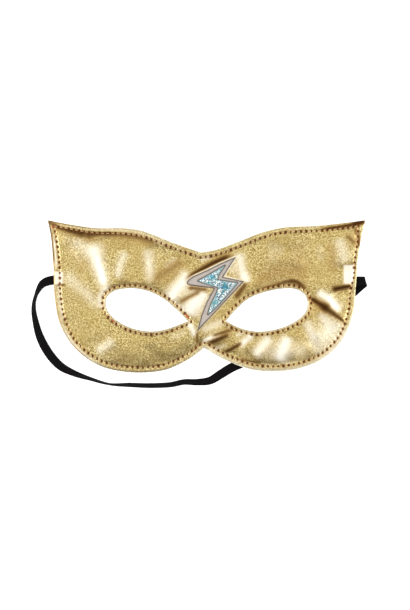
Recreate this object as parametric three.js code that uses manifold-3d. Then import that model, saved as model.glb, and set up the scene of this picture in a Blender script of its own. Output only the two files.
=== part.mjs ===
import * as THREE from 'three';
import { mergeVertices } from 'three/addons/utils/BufferGeometryUtils.js';
import Module from 'manifold-3d';

// A padded eye mask that lies on its lining, brow towards +Y. Lengths are in millimetres.
const LINING_THICKNESS = 0.8;
const CLEARANCE = 0.3; // space between pieces that touch
const SHEET_THICKNESS = 1.2; // the gold front at its flat stitched margin
const PUFF_HEIGHT = 2.6; // how far the padding rises above that margin
const PUFF_RUN = 9; // width of the slope from a seam to full padding
const RIM_SEAM = 3.2; // seam to outer edge
const EYE_SEAM = 1.8; // seam to eye hole
const PAD_MARGIN = 4; // ring of faces inside each seam, where the padding rises fastest
const SHARPEST_CORNER = 0.4; // limits how far a grown loop's pointed corner moves
const LINING_PROUD = 0.25; // the lining shows this much past the front
const EDGE_STEP = 5.9; // face length along the outer edge
const MIDDLE_RINGS = [0.25, 0.5, 0.75]; // rings of faces between the two stitched margins
const MIDDLE_LEVEL = 4; // the ring halfway from an eye hole to the edge
const LEAST_SHARE = 0.05; // least ring spacing, as a share of that way
const MOST_SHARE = 0.48;
const HALVINGS = 16;
const THREAD_RADIUS = 0.3;
const BOLT_RIB_RISE = 1.1;
const BOLT_RIB_ROUNDING = 0.35;
const BOLT_INSET_RISE = 0.6;
const STRAP_WIDTH = 6;
const STRAP_THICKNESS = 0.8;
const STRAP_CORNER = 0.2;
const RIDGE_HEIGHT = 1.5; // lift of the panel over the strap that runs beneath it
const RIDGE_FLAT = 4.6;
const RIDGE_RUN = 9;
const TUCK_RISE = 1; // bump over each sewn-in strap end
const TUCK_FLAT = 5;
const TUCK_RUN = 5;

// The outer edge, as points that four smooth curves pass through, anticlockwise from the brow dip.
const BROW_LEFT = [[-3.6, 28.2], [-23.1, 35.1], [-41.3, 42.1], [-56.3, 44.2], [-72.5, 44.2], [-88.8, 46.4],
  [-102.9, 49.2]];
const SIDE_LEFT = [[-102.9, 49.2], [-100.6, 37.2], [-99.2, 18.4], [-98.4, -0.5], [-94.9, -18],
  [-85.2, -33.6], [-69.3, -44.9], [-49.1, -49.2], [-28.3, -47.9], [-12.7, -41.3], [-1.5, -33.3]];
const SIDE_RIGHT = [[-1.5, -33.3], [12.6, -41.3], [32.1, -47.9], [54.2, -47.8], [73.7, -41.4], [87.9, -28.4],
  [94.7, -11.5], [96.6, 7.3], [97.9, 23.6], [100.3, 37.9], [102.9, 49.2]];
const BROW_RIGHT = [[102.9, 49.2], [87.4, 47.2], [70.5, 45.5], [51, 44.6], [36, 41.2], [21.7, 35.7],
  [6.5, 30.1], [-3.6, 28.2]];

// Each eye hole is one smooth curve, anticlockwise from its pointed inner corner.
const EYE_LEFT = [[-11.7, -16.2], [-19.9, -8], [-28.3, -1.1], [-38.1, 3.6], [-48.5, 5.4], [-58.9, 4.1],
  [-64.4, 0.2], [-65.8, -5], [-63.7, -10.9], [-57.9, -16.4], [-47.8, -21.2], [-36.1, -23.1], [-25.1, -21.3],
  [-11.7, -16.2]];
const EYE_RIGHT = [[12.3, -16.2], [21.7, -20.8], [33.4, -23.2], [46.4, -21.4], [56.8, -17.1], [63.7, -11.5],
  [65.9, -5.4], [64.3, 0.6], [58.1, 4.8], [48.4, 5.1], [37.3, 2.8], [27.3, -1.3], [19.1, -8.3],
  [12.3, -16.2]];
const EYE_LEFT_MIDDLE = [-40, -16.2];
const EYE_RIGHT_MIDDLE = [40, -16.2];
const NOSE_LEVELS = [-30.5, -24, -16.2, -8, 0, 8, 15, 20.5, 26]; // face corners up the middle line

// The lightning bolt: the outside of its stitched rib, and the inset that the rib surrounds.
const BOLT_OUTSIDE = [[-12.7, 8.6], [-10.8, 7], [4.8, 5.4], [0.3, -3.1], [-3.6, -12.8], [-5.9, -22.6],
  [2.2, -14.1], [24.3, 9.6], [10.7, 12.5], [19.1, 25.5]];
const BOLT_INSET = [[-5.6, 9.9], [-1, 8.3], [4.8, 6.7], [7.8, 6], [2.9, -3.1], [-0.4, -10.2], [-1.7, -16.1],
  [10, -3.1], [20.4, 8.9], [6.8, 10.6], [8.1, 14.5], [12, 20]];

// The strap's middle line: x, y, height above the ground, and its turn about its own length in degrees.
const STRAP_ROUTE = [
  [-90.7, 10.8, 1.5, 0], [-95.3, 10.7, 1.5, 0], [-99.2, 10.5, 1.5, 0], [-103.1, 9.7, 1.6, 12],
  [-106.3, 8, 2.1, 30], [-108.6, 4.8, 2.75, 50], [-110.5, 0.7, 3, 62], [-111.8, -4.3, 3.1, 66],
  [-111.9, -9.7, 3, 62], [-111, -15.4, 2.8, 53], [-108.9, -23.9, 2.25, 36], [-105.5, -31.9, 1.6, 20],
  [-100.5, -39.5, 1.5, 18], [-94.3, -45.7, 1.85, 26], [-85.5, -50.1, 2.7, 48], [-75.1, -53.6, 3.1, 66],
  [-62.8, -57, 3.15, 84], [-49.8, -57.5, 3.1, 70], [-36.8, -57.9, 3.05, 66], [-23.8, -57.4, 3, 64],
  [-14.7, -55.6, 2.95, 60], [-6.2, -55.7, 2.75, 52], [2.2, -54.7, 2.25, 36], [9.4, -50.5, 1.35, 16],
  [16.5, -46.3, 0.55, 6], [28, -41.2, 0.45, 6], [43.5, -33.7, 0.45, 6], [60, -24.3, 0.45, 6],
  [77, -12.2, 0.45, 6], [94.5, 2, 0.47, 6], [98.4, 5.4, 0.52, 5], [101.9, 8.4, 0.68, 2],
  [102.8, 9.1, 1.05, -9], [103.1, 9.5, 1.75, -26], [102.5, 9.8, 2.6, -44], [101.4, 9.8, 3.05, -55],
  [98.6, 9.8, 3.15, -55], [95.6, 9.8, 3.1, -55], [91.6, 9.8, 2.95, -55], [88.4, 9.8, 2.75, -55]];
const UNDER_START = 24; // first point of the route beneath the right lobe
const UNDER_END = 33;
const TUCK_POINTS = 3; // route points along each sewn-in end
const STRAP_STEPS = 80;
const FRAME_SUBSTEPS = 12;
const POCKET_OVERRUN = 4; // the pocket's cut starts this far outside the edge
const POCKET_SPACE = 0.35; // room round a sewn-in end

const wasm = await Module();
wasm.setup();

const plan = ([x, y]) => new THREE.Vector2(x, y);
const smoothStep = (value) => THREE.MathUtils.smoothstep(value, 0, 1);

function evenPoints(points, step) {
  const curve = new THREE.SplineCurve(points.map(plan));
  return curve.getSpacedPoints(Math.round(curve.getLength() / step)).slice(0, -1);
}

function distanceTo(path, point) {
  let nearest = Infinity;
  for (let i = 1; i < path.length; i++) {
    const run = path[i].clone().sub(path[i - 1]);
    const share = point.clone().sub(path[i - 1]).dot(run) / run.lengthSq();
    const foot = path[i - 1].clone().addScaledVector(run, THREE.MathUtils.clamp(share, 0, 1));
    nearest = Math.min(nearest, foot.distanceTo(point));
  }
  return nearest;
}

// Moves each side of an anticlockwise loop outwards, keeping its corners square.
function grow(loop, amount) {
  return loop.map((corner, i) => {
    const before = corner.clone().sub(loop.at(i - 1)).normalize();
    const after = loop[(i + 1) % loop.length].clone().sub(corner).normalize();
    const outward = new THREE.Vector2(before.y + after.y, -before.x - after.x).normalize();
    const spread = Math.sqrt((1 + before.dot(after)) / 2);
    return corner.clone().addScaledVector(outward, amount / Math.max(spread, SHARPEST_CORNER));
  });
}

// The plan of the panel
const browLeft = evenPoints(BROW_LEFT, EDGE_STEP);
const sideLeft = evenPoints(SIDE_LEFT, EDGE_STEP);
const sideRight = evenPoints(SIDE_RIGHT, EDGE_STEP);
const browRight = evenPoints(BROW_RIGHT, EDGE_STEP);
const rim = [...browLeft, ...sideLeft, ...sideRight, ...browRight];
const notchIndex = browLeft.length + sideLeft.length;
const eyes = [EYE_LEFT, EYE_RIGHT].map((points) => evenPoints(points, 1));
const eyeMiddles = [EYE_LEFT_MIDDLE, EYE_RIGHT_MIDDLE].map(plan);
const underRoute = STRAP_ROUTE.slice(UNDER_START, UNDER_END).map(plan);
const tuckRoutes = [STRAP_ROUTE.slice(0, TUCK_POINTS), STRAP_ROUTE.slice(-TUCK_POINTS)]
  .map((points) => points.map(plan));

const closed = (loop) => [...loop, loop[0]];
const rimDistance = (point) => distanceTo(closed(rim), point);
const eyeDistance = (point) => Math.min(...eyes.map((eye) => distanceTo(closed(eye), point)));

// Heights of the four surfaces above the ground
const fade = (distance, flat, run) => 1 - smoothStep((distance - flat) / run);
const ridge = (point) => RIDGE_HEIGHT * fade(distanceTo(underRoute, point), RIDGE_FLAT, RIDGE_RUN);
const tuck = (point) => TUCK_RISE * Math.max(
  ...tuckRoutes.map((route) => fade(distanceTo(route, point), TUCK_FLAT, TUCK_RUN)));
const liningBottom = ridge;
const liningTop = (point) => ridge(point) + LINING_THICKNESS;
const frontBottom = (point) => liningTop(point) + CLEARANCE;

function frontTop(point) {
  const inside = Math.min(rimDistance(point) - RIM_SEAM, eyeDistance(point) - EYE_SEAM);
  const slope = 1 - THREE.MathUtils.clamp(inside / PUFF_RUN, 0, 1);
  return frontBottom(point) + SHEET_THICKNESS + tuck(point) + PUFF_HEIGHT * (1 - slope * slope);
}

// The point of a loop that lies in one direction from its middle
function pointTowards(loop, middle, target) {
  const direction = target.clone().sub(middle);
  for (let i = 0; i < loop.length; i++) {
    const start = loop[i].clone().sub(middle);
    const end = loop[(i + 1) % loop.length].clone().sub(middle);
    const startSide = direction.cross(start);
    const endSide = direction.cross(end);
    if (startSide <= 0 && endSide > 0 && direction.dot(end) > 0) {
      return start.lerp(end, startSide / (startSide - endSide)).add(middle);
    }
  }
  throw new Error('the loop does not surround its middle');
}

// How far along a line a distance first reaches a value, as a share of the line, found by halving
function shareAt(start, end, distance, value, least) {
  if (distance(start) >= value) return least;
  let low = 0;
  let high = MOST_SHARE;
  for (let i = 0; i < HALVINGS; i++) {
    const middle = (low + high) / 2;
    if (distance(start.clone().lerp(end, middle)) < value) low = middle;
    else high = middle;
  }
  return Math.max(low, least);
}

// One half of the panel as rings of points, from its eye hole out to its edge and the middle line
function halfRings(outer, eye, middle) {
  const columns = outer.map((edge) => {
    const hole = pointTowards(eye, middle, edge);
    const fromEye = [EYE_SEAM, EYE_SEAM + PAD_MARGIN]
      .map((value, i) => shareAt(hole, edge, eyeDistance, value, LEAST_SHARE * (i + 1)));
    const fromEdge = [RIM_SEAM + PAD_MARGIN, RIM_SEAM]
      .map((value, i) => 1 - shareAt(edge, hole, rimDistance, value, LEAST_SHARE * (2 - i)));
    const between = MIDDLE_RINGS.map((share) => THREE.MathUtils.lerp(fromEye[1], fromEdge[0], share));
    return [0, ...fromEye, ...between, ...fromEdge, 1].map((share) => hole.clone().lerp(edge, share));
  });
  return columns[0].map((_, level) => columns.map((column) => column[level]));
}

function panelHalves() {
  const dip = rim[0];
  const notch = rim[notchIndex];
  const nose = NOSE_LEVELS.map((y) => notch.clone().lerp(dip, (y - notch.y) / (dip.y - notch.y)));
  const outers = [
    [...rim.slice(0, notchIndex + 1), ...nose],
    [...rim.slice(notchIndex), dip, ...nose.toReversed()],
  ];
  const edgeSteps = [notchIndex, rim.length - notchIndex];
  return outers.map((outer, side) => ({
    rings: halfRings(outer, eyes[side], eyeMiddles[side]),
    edgeSteps: edgeSteps[side],
  }));
}

// The same rings, with the outer edge and the eye holes moved past the front's
function liningHalves(halves) {
  const grownRim = grow(rim, LINING_PROUD);
  const grownEdges = [grownRim.slice(0, notchIndex + 1), [...grownRim.slice(notchIndex), grownRim[0]]];
  return halves.map(({ rings, edgeSteps }, side) => ({
    rings: [
      grow(rings[0], -LINING_PROUD),
      ...rings.slice(1, -1),
      [...grownEdges[side], ...rings.at(-1).slice(edgeSteps + 1)],
    ],
    edgeSteps,
  }));
}

// A closed solid between two heights over the panel's plan. The left half's hidden faces have fewer rings.
function panel(halves, bottom, top, hasFineTop) {
  const corners = [];
  const face = (...points) => {
    for (const [point, height] of points) corners.push(point.x, point.y, height(point));
  };
  const quad = (a, b, c, d) => {
    face(a, b, c);
    face(a, c, d);
  };
  halves.forEach(({ rings, edgeSteps }, side) => {
    const all = rings.map((_, level) => level);
    const few = [0, MIDDLE_LEVEL, all.length - 1];
    const upper = side === 1 || hasFineTop ? all : few;
    const lower = side === 1 ? all : few;
    const hole = rings[0];
    const edge = rings.at(-1);
    for (let i = 0; i < edge.length; i++) {
      const next = (i + 1) % edge.length;
      for (let k = 1; k < upper.length; k++) {
        const [inner, outer] = [rings[upper[k - 1]], rings[upper[k]]];
        quad([inner[i], top], [outer[i], top], [outer[next], top], [inner[next], top]);
      }
      for (let k = 1; k < lower.length; k++) {
        const [inner, outer] = [rings[lower[k - 1]], rings[lower[k]]];
        quad([inner[i], bottom], [inner[next], bottom], [outer[next], bottom], [outer[i], bottom]);
      }
      quad([hole[i], bottom], [hole[i], top], [hole[next], top], [hole[next], bottom]);
      if (i < edgeSteps) quad([edge[i], top], [edge[i], bottom], [edge[next], bottom], [edge[next], top]);
    }
  });
  return mergedGeometry(corners);
}

function mergedGeometry(corners) {
  const geometry = new THREE.BufferGeometry();
  geometry.setAttribute('position', new THREE.Float32BufferAttribute(corners, 3));
  return mergeVertices(geometry, 1e-3);
}

// Solids for cutting, and back
function solidOf(geometry) {
  const bare = geometry.index ? geometry.toNonIndexed() : geometry;
  const merged = mergedGeometry(Array.from(bare.attributes.position.array));
  return new wasm.Manifold(new wasm.Mesh({
    numProp: 3,
    vertProperties: merged.attributes.position.array,
    triVerts: new Uint32Array(merged.index.array),
  }));
}

function geometryOf(solid) {
  const { vertProperties, triVerts } = solid.getMesh();
  const geometry = new THREE.BufferGeometry();
  geometry.setAttribute('position', new THREE.BufferAttribute(new Float32Array(vertProperties), 3));
  geometry.setIndex(new THREE.BufferAttribute(new Uint32Array(triVerts), 1));
  return geometry;
}

// The strap's middle line with a width direction at each step
class StrapRoute extends THREE.Curve {
  constructor(points) {
    super();
    this.turns = points.map((point) => THREE.MathUtils.degToRad(point[3]));
    this.line = new THREE.CatmullRomCurve3(
      points.map(([x, y, z]) => new THREE.Vector3(x, y, z)), false, 'catmullrom', 0.5);
  }

  getPoint(share) {
    return this.line.getPoint(share);
  }

  getSpacedPoints(steps) {
    return this.getPoints(steps);
  }

  turnAt(share) {
    const place = share * (this.turns.length - 1);
    const before = Math.min(Math.floor(place), this.turns.length - 2);
    return THREE.MathUtils.lerp(this.turns[before], this.turns[before + 1], place - before);
  }

  computeFrenetFrames(steps) {
    const frames = { tangents: [], normals: [], binormals: [] };
    const face = new THREE.Vector3(0, 0, 1);
    for (let i = 0; i <= steps; i++) {
      for (let k = 1 - FRAME_SUBSTEPS; k <= 0; k++) {
        const passed = this.line.getTangent(Math.max(i + k / FRAME_SUBSTEPS, 0) / steps);
        face.addScaledVector(passed, -face.dot(passed)).normalize();
      }
      const tangent = this.line.getTangent(i / steps);
      const turned = face.clone().applyAxisAngle(tangent, this.turnAt(i / steps));
      frames.tangents.push(tangent);
      frames.normals.push(turned.clone().cross(tangent));
      frames.binormals.push(turned);
    }
    return frames;
  }
}

function strapSection(width, thickness, corner) {
  const [x, y] = [width / 2, thickness / 2];
  return new THREE.Shape([[x - corner, -y], [x, corner - y], [x, y - corner], [x - corner, y],
    [corner - x, y], [-x, y - corner], [-x, corner - y], [corner - x, -y]].map(plan));
}

function strap(points, steps, space) {
  const section = strapSection(STRAP_WIDTH + 2 * space, STRAP_THICKNESS + 2 * space, STRAP_CORNER);
  return new THREE.ExtrudeGeometry(section, { extrudePath: new StrapRoute(points), steps });
}

// The space round one sewn-in end, from just past its end to outside the panel
function pocket(side) {
  const ends = [STRAP_ROUTE.slice(0, TUCK_POINTS), STRAP_ROUTE.slice(-TUCK_POINTS).toReversed()];
  const points = ends[side];
  const [end, mouth] = [points[0], points.at(-1)];
  const outwards = Math.sign(mouth[0]);
  const longer = [
    [end[0] - outwards * POCKET_SPACE, ...end.slice(1, 3), 0],
    ...points.slice(1).map(([x, y, z]) => [x, y, z, 0]),
    [mouth[0] + outwards * POCKET_OVERRUN, mouth[1], mouth[2], 0],
  ];
  return solidOf(strap(longer, longer.length - 1, POCKET_SPACE));
}

// A thread of square section along a closed line of points
function threadRing(points) {
  const corners = [];
  const sections = points.map((point, i) => {
    const along = points[(i + 1) % points.length].clone().sub(points.at(i - 1));
    const outward = new THREE.Vector2(along.y, -along.x).normalize();
    const height = frontTop(point) + CLEARANCE + THREAD_RADIUS;
    return [[1, 0], [0, 1], [-1, 0], [0, -1]].map(([out, up]) => {
      const place = point.clone().addScaledVector(outward, out * THREAD_RADIUS);
      return [place.x, place.y, height + up * THREAD_RADIUS];
    });
  });
  sections.forEach((section, i) => {
    const after = sections[(i + 1) % sections.length];
    section.forEach((corner, side) => {
      const next = (side + 1) % section.length;
      corners.push(...corner, ...after[side], ...after[next], ...corner, ...after[next], ...section[next]);
    });
  });
  return mergedGeometry(corners);
}

// The raised shapes of the bolt, cut to sit on the padding
function boltPiece(outline, hole, rise, rounding, ground) {
  const shape = new THREE.Shape(outline);
  if (hole) shape.holes.push(new THREE.Path(hole));
  const padTop = LINING_THICKNESS + CLEARANCE + SHEET_THICKNESS + PUFF_HEIGHT;
  const depth = PUFF_HEIGHT + rise - rounding;
  const block = new THREE.ExtrudeGeometry(shape, {
    depth,
    bevelSize: rounding,
    bevelThickness: rounding,
    bevelOffset: -rounding,
    bevelSegments: 2,
  });
  block.translate(0, 0, padTop + CLEARANCE + rise - rounding - depth);
  return geometryOf(solidOf(block).subtract(ground));
}

const frontHalves = panelHalves();
const wholeFront = panel(frontHalves, frontBottom, frontTop, true);
const front = geometryOf(solidOf(wholeFront).subtract(pocket(0)).subtract(pocket(1)));
const lining = panel(liningHalves(frontHalves), liningBottom, liningTop, false);

const boltGround = solidOf(wholeFront.clone().translate(0, 0, CLEARANCE));
const boltOutside = BOLT_OUTSIDE.map(plan);
const boltInset = BOLT_INSET.map(plan);
const boltRib = boltPiece(boltOutside, boltInset, BOLT_RIB_RISE, BOLT_RIB_ROUNDING, boltGround);
const boltGlitter = boltPiece(grow(boltInset, -CLEARANCE), null, BOLT_INSET_RISE, 0, boltGround);

const [leftRings, rightRings] = frontHalves.map((half) => half.rings);
const rimSeam = [
  ...leftRings.at(-2).slice(0, notchIndex + 1),
  ...rightRings.at(-2).slice(0, rim.length - notchIndex + 1),
];

const gold = new THREE.MeshStandardMaterial({ color: 0xc3a768, roughness: 0.42, metalness: 0.6 });
const felt = new THREE.MeshStandardMaterial({ color: 0xb9b3a4, roughness: 0.95 });
const satin = new THREE.MeshStandardMaterial({ color: 0xb7aaa5, roughness: 0.45 });
const glitter = new THREE.MeshStandardMaterial({ color: 0xa9c4cc, roughness: 0.25, metalness: 0.5 });
const elastic = new THREE.MeshStandardMaterial({ color: 0x151314, roughness: 0.8 });
const thread = new THREE.MeshStandardMaterial({ color: 0x9a5f33, roughness: 0.6 });

const pieces = [
  ['gold_front', front, gold],
  ['back_lining', lining, felt],
  ['bolt_border', boltRib, satin],
  ['bolt_glitter', boltGlitter, glitter],
  ['elastic_strap', strap(STRAP_ROUTE, STRAP_STEPS, 0), elastic],
  ['edge_seam_thread', threadRing(rimSeam), thread],
  ['left_eye_seam_thread', threadRing(leftRings[1]), thread],
  ['right_eye_seam_thread', threadRing(rightRings[1]), thread],
];

const group = new THREE.Group();
for (const [name, geometry, material] of pieces) {
  const mesh = new THREE.Mesh(geometry, material);
  mesh.name = name;
  group.add(mesh);
}

export default group;
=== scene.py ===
import math

import bpy
import numpy as np
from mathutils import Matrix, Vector
from mathutils.geometry import delaunay_2d_cdt


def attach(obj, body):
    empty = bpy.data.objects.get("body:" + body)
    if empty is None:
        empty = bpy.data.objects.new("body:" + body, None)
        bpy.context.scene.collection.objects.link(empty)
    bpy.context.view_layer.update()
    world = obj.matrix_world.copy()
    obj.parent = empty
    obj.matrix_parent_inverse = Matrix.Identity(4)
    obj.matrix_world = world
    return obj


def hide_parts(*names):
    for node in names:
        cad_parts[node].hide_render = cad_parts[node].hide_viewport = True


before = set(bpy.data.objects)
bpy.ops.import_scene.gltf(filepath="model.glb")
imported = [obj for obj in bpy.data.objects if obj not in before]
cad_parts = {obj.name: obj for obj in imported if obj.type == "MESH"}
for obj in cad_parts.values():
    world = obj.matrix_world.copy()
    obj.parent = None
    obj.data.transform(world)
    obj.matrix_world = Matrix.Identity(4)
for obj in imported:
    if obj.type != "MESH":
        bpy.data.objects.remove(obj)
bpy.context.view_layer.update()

# A padded gold eye mask that lies on its felt back, brow towards +Y, in millimetres until a mesh is made.
MM = 0.001

# Heights of the layers
LINING_THICKNESS = 0.8
LINING_LIFT = 0.02
LAYER_SPACE = 0.04
FRONT_LIFT = 1.1
SHEET_THICKNESS = 1.2

# How far the seams run inside the outer edge and outside the eye holes, and how far the felt shows
RIM_SEAM = 3.2
EYE_SEAM = 1.8
LINING_PROUD = 0.25

# Padding: its height, and the runs over which it rises from the outer seam and from the eye seams
PUFF_HEIGHT = 1.7
PUFF_RUN = 18
EYE_PUFF_RUN = 7
SEAM_SLOPE = 2.5

# The leather is sewn down round the bolt, which lies over it
SEWN_DOWN_REACH = 6
BOLT_SPACE = 0.1

# Crumples of the leather: height and length of the waves, and how many waves make up each
CRUMPLES = ((0.18, 26), (0.05, 11), (0.008, 4))
WAVES = 26

# The edge of the leather rolls down
EDGE_ROLL = 0.35
EDGE_ROLL_DEPTH = 0.3

# The lining's ridge over the strap, the front's gentler rise there, and the pockets round the strap's ends
RIDGE_HEIGHT = 1.5
RIDGE_FLAT = 4.6
RIDGE_RUN = 9
UNDER_RISE = 0.85
GENTLE_RUN = 14
TUCK_RISE = 2.1
TUCK_FLAT = 3.2
POCKET_HEIGHTS = (2, 3.6)
POCKET_FLAT = 3.3
POCKET_RUN = 0.6

# Strap
STRAP_WIDTH = 6
STRAP_THICKNESS = 0.8
STRAP_STEPS = 420
STRAP_SUBSTEPS = 3
STRAP_RIBS = 6
STRAP_RIB_DEPTH = 0.12
STRAP_SIDE_POINTS = 25
SELVEDGE = 0.08  # share of the half width over which the strap thins towards its edge
SELVEDGE_THINNESS = 0.35
SCALLOP_DEPTH = 0.012  # share of the width
SCALLOP_LENGTH = 1.6
WEAVE_LENGTH = 0.75

# Stitches: the space between holes, where a thread starts and ends in it, and its heights and radii
STITCH = 3.4
STITCH_SPAN = (0.2, 0.8)
STITCH_SINK = np.array([-0.55, -0.12, 0.1, 0.16, 0.1, -0.12, -0.55])
THREAD_RADII = 0.2 * np.array([0.7, 1, 1, 1, 1, 1, 0.7])
KNOT_LIFT = 0.25
KNOT_THICKNESS = 1.5
HOLE_RADIUS = 0.65
HOLE_DEPTH = 0.4
GROOVE_WIDTH = 0.7
GROOVE_DEPTH = 0.12
PUCKER_REACH = 1
PUCKER_WIDTH = 0.55
PUCKER_RISE = 0.07

# Knots as place and number of thread ends, for the edge and for each eye hole
KNOTS = [[(-99.4, 45, 2)], [(-12.4, -12.6, 7), (-60.3, -16, 3)], []]

# The bolt's border: a flat base and an arch of satin threads over it
BORDER_BASE = 0.25
BORDER_ARCH = 0.85
BORDER_ARCH_RUN = 1.1
SATIN_SPACING = 0.55
SATIN_DEPTH = 0.08

# The bolt's inset: top and underside of its plate, and the flakes over it
PLATE_TOP = 0.4
PLATE_UNDERSIDE = -0.05
PLATE_COLOUR = 0.6
FLAKE_SPACING = 0.5
FLAKE_JITTER = 0.14
FLAKE_MARGIN = 0.65
FLAKE_RADII = (0.24, 0.4)
FLAKE_SIDES = 6
FLAKE_TOP = 0.58
FLAKE_THICKNESS = 0.35
FLAKE_TILT = 0.22

# Places in the inset where flakes of one colour gather: middle, reach, place in the colour ramp
CLUSTERS = [((2.9, 12.5), 2.4, 0.4), ((11.7, 6.7), 2.4, 0.2), ((4.6, -4.2), 3, 0.42)]

# Steps along outlines, and spacings of the points between them, finer within FINE_BAND of a seam
PANEL_BOX = ((-105, -52), (105, 52))
COARSE_STEP = 1.4
SEAM_STEP = 0.3
FRONT_STEP = 0.45
WIDE_SPACING = 0.56
FINE_SPACING = 0.34
FINE_BAND = 1.7
TUCK_SPACING = 1
TUCK_REACH = 6
LINING_STEP = 1.2
LINING_SPACING = 1.5
BORDER_STEP = 0.2
BORDER_SPACING = 0.19
PLATE_STEP = 0.4
PLATE_SPACING = 0.6
SPLINE_STEPS = 24
CHUNK = 4000  # points handled at once, which keeps the memory small

# The outer edge, as points that four smooth curves pass through, anticlockwise from the brow dip
BROW_LEFT = [
    (-3.6, 28.2), (-23.1, 35.1), (-41.3, 42.1), (-56.3, 44.2), (-72.5, 44.2), (-88.8, 46.4), (-102.9, 49.2),
]
SIDE_LEFT = [
    (-102.9, 49.2), (-100.6, 37.2), (-99.2, 18.4), (-98.4, -0.5), (-94.9, -18), (-85.2, -33.6),
    (-69.3, -44.9), (-49.1, -49.2), (-28.3, -47.9), (-12.7, -41.3), (-1.5, -33.3),
]
SIDE_RIGHT = [
    (-1.5, -33.3), (12.6, -41.3), (32.1, -47.9), (54.2, -47.8), (73.7, -41.4), (87.9, -28.4), (94.7, -11.5),
    (96.6, 7.3), (97.9, 23.6), (100.3, 37.9), (102.9, 49.2),
]
BROW_RIGHT = [
    (102.9, 49.2), (87.4, 47.2), (70.5, 45.5), (51, 44.6), (36, 41.2), (21.7, 35.7), (6.5, 30.1),
    (-3.6, 28.2),
]
EYE_LEFT = [
    (-11.7, -16.2), (-19.9, -8), (-28.3, -1.1), (-38.1, 3.6), (-48.5, 5.4), (-58.9, 4.1), (-64.4, 0.2),
    (-65.8, -5), (-63.7, -10.9), (-57.9, -16.4), (-47.8, -21.2), (-36.1, -23.1), (-25.1, -21.3),
    (-11.7, -16.2),
]
EYE_RIGHT = [
    (12.3, -16.2), (21.7, -20.8), (33.4, -23.2), (46.4, -21.4), (56.8, -17.1), (63.7, -11.5), (65.9, -5.4),
    (64.3, 0.6), (58.1, 4.8), (48.4, 5.1), (37.3, 2.8), (27.3, -1.3), (19.1, -8.3), (12.3, -16.2),
]

# The lightning bolt: the outside of its stitched border, and the inset within it
BOLT_OUTSIDE = np.array([
    (-12.9, 8.5), (-12.1, 7.5), (-10.8, 7), (4.8, 5), (0.3, -3.1), (-3.6, -12.8), (-5.9, -22.6),
    (2.2, -14.1), (24.3, 9.6), (10.7, 12.5), (19.1, 25.5), (13.9, 23.4), (8.7, 21.1), (0.3, 16.9),
    (-6.9, 13.7), (-9.5, 12.4), (-11.4, 10.9), (-12.8, 9.3),
])
BOLT_INSET = np.array([
    (-5.6, 9.9), (-1, 8.3), (4.8, 6.6), (7.7, 5.6), (6.3, 1.8), (4.5, -1.8), (2.9, -5), (1.8, -8),
    (0.8, -11.7), (4.2, -9.1), (8.7, -4.4), (13.9, 1.5), (20, 8.6), (6.8, 10.5), (8.2, 14.6), (11.9, 19.8),
])

# The strap's middle line, in metres, and its turn about its own length in degrees
STRAP_ROUTE = [
    (-0.0907, 0.0108, 0.0015), (-0.0953, 0.0107, 0.0015), (-0.0992, 0.0105, 0.0015),
    (-0.1031, 0.0097, 0.0016), (-0.1063, 0.008, 0.0021), (-0.1086, 0.0048, 0.00275),
    (-0.1105, 0.0007, 0.003), (-0.1118, -0.0043, 0.0031), (-0.1119, -0.0097, 0.003),
    (-0.111, -0.0154, 0.0028), (-0.1089, -0.0239, 0.00225), (-0.1055, -0.0319, 0.0016),
    (-0.1005, -0.0395, 0.0015), (-0.0943, -0.0457, 0.00185), (-0.0855, -0.0501, 0.0027),
    (-0.0751, -0.0536, 0.0031), (-0.0628, -0.057, 0.00315), (-0.0498, -0.0575, 0.0031),
    (-0.0368, -0.0579, 0.00305), (-0.0238, -0.0574, 0.003), (-0.0147, -0.0556, 0.00295),
    (-0.0062, -0.0557, 0.00275), (0.0022, -0.0547, 0.00225), (0.0094, -0.0505, 0.00135),
    (0.0165, -0.0463, 0.00055), (0.028, -0.0412, 0.00045), (0.0435, -0.0337, 0.00045),
    (0.06, -0.0243, 0.00045), (0.077, -0.0122, 0.00045), (0.0945, 0.002, 0.00047),
    (0.0984, 0.0054, 0.00052), (0.1019, 0.0084, 0.00068), (0.1028, 0.0091, 0.00105),
    (0.1031, 0.0095, 0.00175), (0.1025, 0.0098, 0.0026), (0.1014, 0.0098, 0.00305),
    (0.0986, 0.0098, 0.00315), (0.0956, 0.0098, 0.0031), (0.0916, 0.0098, 0.00295),
    (0.0884, 0.0098, 0.00275),
]
STRAP_TURNS = [
    0, 0, 0, 12, 33, 57, 73, 71, 62, 53, 36, 20, 18, 29, 54, 75, 86, 70, 66, 64, 60, 52, 36, 16, 6, 6, 6, 6,
    6, 6, 5, 2, -9, -26, -44, -55, -55, -55, -55, -55,
]
UNDER_ROUTE = slice(24, 33)
TUCKED_ENDS = (slice(0, 3), slice(-3, None))

# Camera, straight above
PHOTO_HEIGHT_PX = 610
MM_PER_PX = 0.65
VIEW_MIDDLE = (-1.01, -5.69)
LENS = 85
SENSOR = 36

# Floor, as radius and height in metres, and what the gold mirrors between the soft boxes
FLOOR_PROFILE = [(4, -0.00005), (5, 0.15), (6, 0.6), (6.8, 1.3), (7.2, 2.4), (7.4, 5.4)]
FLOOR_SIDES = 64
WORLD_COLOUR = (0.11, 0.06, 0.025, 1)


def add_object(name, data):
    added = bpy.data.objects.new(name, data)
    bpy.context.scene.collection.objects.link(added)
    return added


def make_camera():
    camera = bpy.data.cameras.new("camera")
    camera.lens = LENS
    camera.sensor_width = SENSOR
    holder = add_object("camera", camera)
    distance = PHOTO_HEIGHT_PX * MM_PER_PX / SENSOR * LENS
    holder.location = Vector((*VIEW_MIDDLE, distance)) * MM
    bpy.context.scene.camera = holder
    bpy.context.scene.view_settings.view_transform = "Standard"


# Shapes from numbers

def smooth(value):
    value = np.clip(value, 0, 1)
    return value * value * (3 - 2 * value)


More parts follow.
